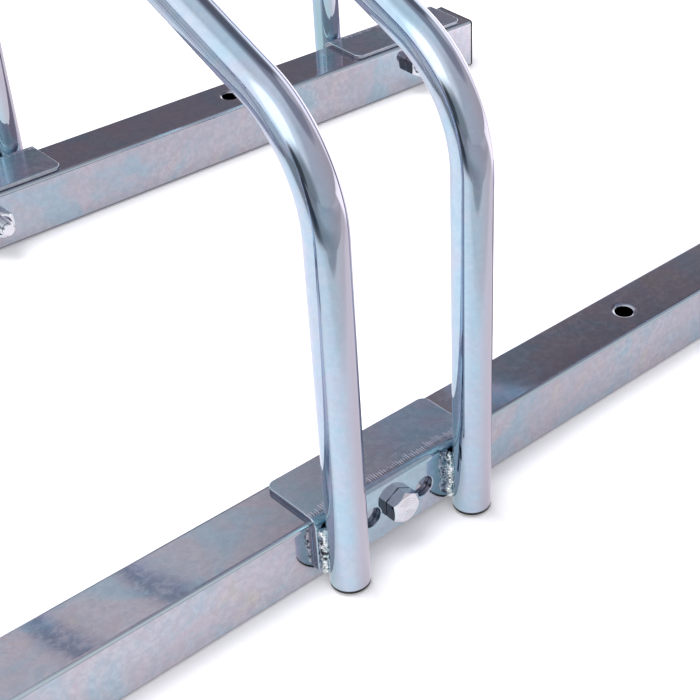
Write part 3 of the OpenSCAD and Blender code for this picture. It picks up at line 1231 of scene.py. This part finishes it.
@dataclass
class Rack:
    """The whole rack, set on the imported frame's own places."""

    palette: Palette
    places: int = 4

    def fit(self, piece: Piece, slot: Slot, node: str) -> None:
        """Dresses a finished piece, lets it ride and hides the CAD node that it stands for.

        Args:
            piece: The object.
            slot: Its finish.
            node: The CAD node.
        """
        self.palette.dress(piece, slot)
        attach(piece, "root")
        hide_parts(node)
        LOG.info("%s: %d faces", piece.name, len(piece.data.polygons))

    @staticmethod
    def middle_x(node: str) -> float:
        """X of the middle of a CAD node."""
        return sum(corner.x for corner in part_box(node)) / 2

    def build_rails(self) -> None:
        """Makes both rails and their four caps."""
        rails = Rails()
        bolts = [self.middle_x(f"front_bolt_{k}") for k in range(1, self.places + 1)]
        for side in Side:
            rail = f"{side.word}_rail"
            rail_low, rail_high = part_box(rail)
            self.fit(rails.rail(rail + "_tube", rail_low, rail_high, bolts), Slot.RAIL, rail)
            for end, outward in (("left", -1), ("right", 1)):
                node = f"{rail}_cap_{end}"
                low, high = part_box(node)
                low.yz, high.yz = rail_low.yz, rail_high.yz
                self.fit(rails.cap(node + "_moulding", low, high, outward), Slot.PLASTIC, node)

    def build_places(self) -> None:
        """Makes the hoops, brackets, welds, plugs and fasteners of every wheel place."""
        hoop, bracket, plug = Hoops().model(), Brackets().model(), Plugs().model()
        fasteners, welds = Fasteners(), Welds()
        bolt, nut, bead = fasteners.bolt(), fasteners.nut_model(), welds.model()
        for k in range(1, self.places + 1):
            legs = []
            for hand in ("left", "right"):
                node = f"{hand}_hoop_{k}"
                legs.append(self.middle_x(node))
                self.fit(copy(hoop, node + "_tube", Matrix.Translation((legs[-1], 0, 0))), Slot.TUBE, node)
            plugs = [copy(plug, "plug_part", Matrix.Translation((x, y, 0)))
                     for x in legs for y in (-Hoops.leg_y, Hoops.leg_y)]
            node = f"hoop_plugs_{k}"
            self.fit(join(plugs, node + "_moulding"), Slot.PLASTIC, node)
            for side in Side:
                self.build_side(k, side, bracket, bolt, nut)
                node = f"{side.word}_welds_{k}"
                self.fit(welds.run(bead, node + "_beads", legs, side), Slot.WELD, node)
        for model in (hoop, bracket, bolt, nut, bead, plug):
            bpy.data.objects.remove(model)

    def build_side(self, k: int, side: Side, bracket: Piece, bolt: Piece, nut: Piece) -> None:
        """Makes the bracket, bolt and nut of one place on one rail.

        Args:
            k: The wheel place.
            side: Which rail.
            bracket: The model bracket, as it is on the rear rail.
            bolt: The model bolt.
            nut: The model nut.
        """
        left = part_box(f"{side.word}_bracket_{k}")[0].x
        flip = MIRROR_Y if side is Side.FRONT else Matrix.Identity(4)
        low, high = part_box(f"{side.word}_bolt_{k}")
        axis = (low + high) / 2
        turn = Matrix.Rotation(math.radians(-90 * side.value), 4, "X")
        outer, inner = (Matrix.Translation((axis.x, side.value * y, axis.z)) @ turn
                        for y in (Brackets.face_y + Brackets.sheet, Brackets.face_y - Rails.side))
        for part, word, model, slot, angle, move in (
            ("bracket", "sheet", bracket, Slot.BRACKET, 40.0, flip @ Matrix.Translation((left, 0, 0))),
            ("bolt", "screw", bolt, Slot.FASTENER, 28.0, outer),
            ("nut", "hexagon", nut, Slot.FASTENER, 28.0, inner),
        ):
            node = f"{side.word}_{part}_{k}"
            piece = copy(model, f"{node}_{word}", move)
            smooth(piece, angle)
            self.fit(piece, slot, node)


def direction(azimuth: float, elevation: float) -> Vector:
    """Unit direction, with the azimuth from +Y towards +X, in degrees."""
    a, e = math.radians(azimuth), math.radians(elevation)
    return Vector((math.sin(a) * math.cos(e), math.cos(a) * math.cos(e), math.sin(e)))


@dataclass(frozen=True)
class Lobe:
    """A soft patch of the studio round the rack, as a direction, its size and its level."""

    azimuth: float
    elevation: float
    inner: float
    outer: float
    level: Triple


@dataclass
class Floor:
    """The white floor, with the levels on it that only the plating mirrors.

    They are the room's tones from left to right, a painted shadow on the left that reaches out of the studio,
    a bright sheet under the rack, brightest round its middle as a painted pool of light, and bright ground on
    the right.
    """

    size: float = 12.0
    drop: float = 0.05 * MM
    paper: Triple = (0.93, 0.92, 0.95)
    left: float = -0.6
    right: float = 0.9
    tones: tuple[tuple[float, Triple], ...] = (
        (0.0, (0.33, 0.33, 0.35)), (0.2, (0.41, 0.41, 0.43)), (0.4, (0.50, 0.50, 0.52)),
        (0.6, (0.68, 0.68, 0.70)), (0.77, (0.86, 0.86, 0.87)), (1.0, (1.15, 1.15, 1.15)),
    )
    patch: tuple[float, float] = (-0.80, -0.32)
    # Level of the painted shadow on the left.
    painted_shadow_level: Triple = (0.055, 0.06, 0.075)
    # Middle of the painted pool of light under the rack.
    middle: Triple = (-0.02, -0.02, 0.0)

    def room(self, book: NodeBook, along: Socket, across: Socket) -> Socket:
        """The room's tones.

        Args:
            book: The floor's nodes.
            along: X.
            across: Y.

        Returns:
            The level.
        """
        level = book.ramp(book.spread(along, self.left, self.right), self.tones)
        level = book.blend(book.spread(across, 0.15, 0.45), level, (0.66, 0.66, 0.69))
        front = book.times(book.fall(across, -0.47, -0.38), book.spread(along, -0.40, -0.05))
        level = book.blend(front, level, (0.79, 0.79, 0.79), "MULTIPLY")
        beside = book.spread(book.maths("SUBTRACT", along, across), -0.2, 0.5)
        level = book.blend(book.times(book.fall(across, -0.80, -0.47), beside), level, (0.56, 0.555, 0.58))
        level = book.blend(book.times(book.fall(across, -2.0, -1.0), beside), level, (0.60, 0.60, 0.63))
        corner = book.times(book.fall(across, -0.9, -0.6), book.spread(along, 0.4, 1.5))
        return book.blend(corner, level, (0.82, 0.81, 0.84))

    def dark(self, book: NodeBook, along: Socket, across: Socket) -> Socket:
        """How strong the painted shadow is at a place: long in X, and wider and nearer as it reaches out.

        Args:
            book: The floor's nodes.
            along: X.
            across: Y.

        Returns:
            The painted shadow as a mask.
        """
        east = book.plus(along, -self.patch[0])
        beyond = book.maths("MINIMUM", east, 0.0)
        east = book.times(book.maths("MAXIMUM", east, book.times(east, 0.1)), 0.25)
        north = book.maths("SUBTRACT", book.plus(across, -self.patch[1]), book.times(beyond, 0.17))
        north = book.maths("DIVIDE", north, book.maths("SUBTRACT", 1.0, book.times(beyond, 0.35)))
        away = book.add("CombineXYZ", {0: east, 1: north}).outputs[0]
        return book.fall(book.measure("LENGTH", away), 0.10, 0.22)

    def mirrored(self, book: NodeBook, spot: Socket) -> Socket:
        """All the levels that the plating mirrors.

        Args:
            book: The floor's nodes.
            spot: The place on the floor.

        Returns:
            The level.
        """
        along, across, _ = book.axes(spot)
        # Painted shadow: the dark patch on the left.
        level = book.blend(self.dark(book, along, across), self.room(book, along, across), self.painted_shadow_level)
        slant = book.plus(book.times(along, 0.77), book.times(across, 0.64))
        border = book.plus(across, book.times(along, 0.3))
        sheet = book.times(book.spread(slant, -0.38, -0.27), book.spread(border, -0.410, -0.397),
                           book.spread(along, -0.50, -0.28), book.spread(across, 0.15, 0.40, 1.0, 0.5))
        bright = book.blend(book.spread(across, -0.38, -0.31), (0.80, 0.80, 0.80), (0.98, 0.98, 0.99))
        # Painted pool of light round the rack's middle.
        away = book.measure("DISTANCE", spot, self.middle)
        bright = book.blend(book.fall(away, 0.12, 0.32), bright, (1.20, 1.20, 1.20))
        level = book.blend(sheet, level, bright)
        edge = book.plus(along, book.times(across, 1.1))
        right = book.times(book.spread(edge, 0.16, 0.34), book.spread(along, 0.38, 0.58))
        return book.blend(right, level, (1.8, 1.8, 1.8))

    def build(self) -> None:
        """Lays the floor, which keeps the rack's soft shadow."""
        tidy()
        bpy.ops.mesh.primitive_plane_add(size=self.size, location=(0, 0, -self.drop))
        plane = bpy.context.object
        plane.name = "floor"
        material = bpy.data.materials.new("floor")
        book = NodeBook(material)
        spot = book.coords()
        path = book.add("LightPath").outputs
        mirrored = self.mirrored(book, spot)
        colour = book.blend(path["Is Glossy Ray"], self.paper, book.dim(mirrored, 0.33))
        plain = book.add("BsdfDiffuse", {"Color": colour})
        lift = book.dim((1.0, 1.0, 1.0), book.spread(book.measure("LENGTH", spot), 0.9, 2.2, 0.15, 1.0))
        lift = book.blend(path["Is Camera Ray"], (0.0, 0.0, 0.0), lift)
        lift = book.blend(path["Is Glossy Ray"], lift, book.dim(mirrored, 0.6))
        glow = book.add("Emission", {"Color": lift, "Strength": 1.0})
        both = book.add("AddShader", {0: plain.outputs[0], 1: glow.outputs[0]})
        book.add("OutputMaterial", {"Surface": both.outputs[0]})
        plane.data.materials.append(material)


@dataclass
class Camera:
    """The photograph's camera, fitted to the edges of the parts."""

    frame_px: float = 700.0
    focal_px: float = 1474.18
    centre_px: tuple[float, float] = (599.39, 476.34)
    place: Triple = (-0.153608, -0.511822, 0.412788)
    right: Triple = (0.668773, -0.741266, 0.057163)
    up: Triple = (0.448152, 0.463282, 0.764545)
    back: Triple = (-0.593214, -0.48569, 0.642031)
    sensor: float = 36.0

    def build(self) -> None:
        """Sets the camera."""
        data = bpy.data.cameras.new("camera")
        data.sensor_fit = "HORIZONTAL"
        data.sensor_width = self.sensor
        data.lens = self.focal_px / self.frame_px * self.sensor
        data.shift_x = (self.frame_px / 2 - self.centre_px[0]) / self.frame_px
        data.shift_y = (self.centre_px[1] - self.frame_px / 2) / self.frame_px
        data.clip_start, data.clip_end = 0.01, 100.0
        camera = bpy.data.objects.new("camera", data)
        turn = Matrix((self.right, self.up, self.back)).transposed()
        camera.matrix_world = Matrix.Translation(self.place) @ turn.to_4x4()
        bpy.context.scene.collection.objects.link(camera)
        bpy.context.scene.camera = camera


@dataclass
class Studio:
    """The painted room and the lamps. Only the plating and the lit parts see the room."""

    lamp_distance: float = 2.6
    lobes: tuple[Lobe, ...] = (
        Lobe(8, 42, 12, 42, (0.88, 0.88, 0.90)),
        Lobe(88, 54, 15, 29, (0.40, 0.38, 0.44)),
        Lobe(122, 49, 13, 25, (0.38, 0.38, 0.44)),
        Lobe(59, 45, 9, 22, (0.18, 0.17, 0.20)),
        Lobe(90, 38, 3, 13, (0.78, 0.78, 0.80)),
        Lobe(77, 3, 14, 29, (1.75, 1.75, 1.75)),
        Lobe(52, -2, 14, 28, (1.80, 1.80, 1.80)),
        Lobe(33, 24, 8, 17, (0.25, 0.24, 0.27)),
        Lobe(-75, 32, 14, 34, (1.40, 1.40, 1.40)),
        Lobe(-112, 40, 12, 42, (1.20, 1.20, 1.20)),
        Lobe(-99, 35, 14, 27, (2.1, 2.1, 2.1)),
        Lobe(-122, 3, 8, 30, (0.33, 0.35, 0.36)),
        Lobe(-103, 5, 6, 14, (0.08, 0.09, 0.10)),
    )

    def world(self) -> None:
        """Paints the room, with a plain white ground for the camera."""
        world = bpy.data.worlds.new("studio")
        bpy.context.scene.world = world
        book = NodeBook(world)
        way = book.coords("Generated")
        share = book.plus(book.times(book.axes(way)[2], 0.5), 0.5)
        colour = book.ramp(share, [(0.0, (0.55, 0.55, 0.57)), (0.5, (0.66, 0.66, 0.69)),
                                   (0.88, (0.70, 0.70, 0.73)), (1.0, (0.96, 0.97, 1.0))])
        for lobe in self.lobes:
            dot = book.measure("DOT_PRODUCT", way, direction(lobe.azimuth, lobe.elevation))
            patch = book.spread(dot, math.cos(math.radians(lobe.outer)), math.cos(math.radians(lobe.inner)))
            colour = book.blend(patch, colour, lobe.level)
        colour = book.blend(book.add("LightPath").outputs["Is Camera Ray"], colour, (1.0, 1.0, 1.0))
        ground = book.add("Background", {"Color": colour, "Strength": 1.0})
        book.add("OutputWorld", {"Surface": ground.outputs[0]})

    def lamp(self, name: str, toward: Vector, size: float, power: float) -> None:
        """Hangs one soft lamp that points at the rack.

        Args:
            name: Its name.
            toward: Unit direction of the lamp.
            size: Side of the lamp.
            power: Its power in watts.
        """
        data = bpy.data.lights.new(name, "AREA")
        data.shape = "SQUARE"
        data.size = size
        data.energy = power
        lamp = bpy.data.objects.new(name, data)
        lamp.location = toward * self.lamp_distance
        lamp.rotation_mode = "QUATERNION"
        lamp.rotation_quaternion = toward.to_track_quat("Z", "Y")
        lamp.visible_glossy = False
        bpy.context.scene.collection.objects.link(lamp)

    def build(self) -> None:
        """Makes the whole set."""
        self.world()
        Floor().build()
        self.lamp("left_lamp", direction(-100, 42), size=2.4, power=12.0)
        self.lamp("high_lamp", direction(-10, 74), size=1.4, power=55.0)
        Camera().build()
        bpy.context.scene.view_settings.view_transform = "Standard"


def main() -> None:
    """Builds the rack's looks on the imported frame, then the studio."""
    logging.basicConfig(level=logging.INFO, format="%(name)s: %(message)s")
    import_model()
    palette = Palette()
    palette.build()
    rack = Rack(palette)
    rack.build_rails()
    rack.build_places()
    Studio().build()
    tidy()


if __name__ == "__main__":
    main()
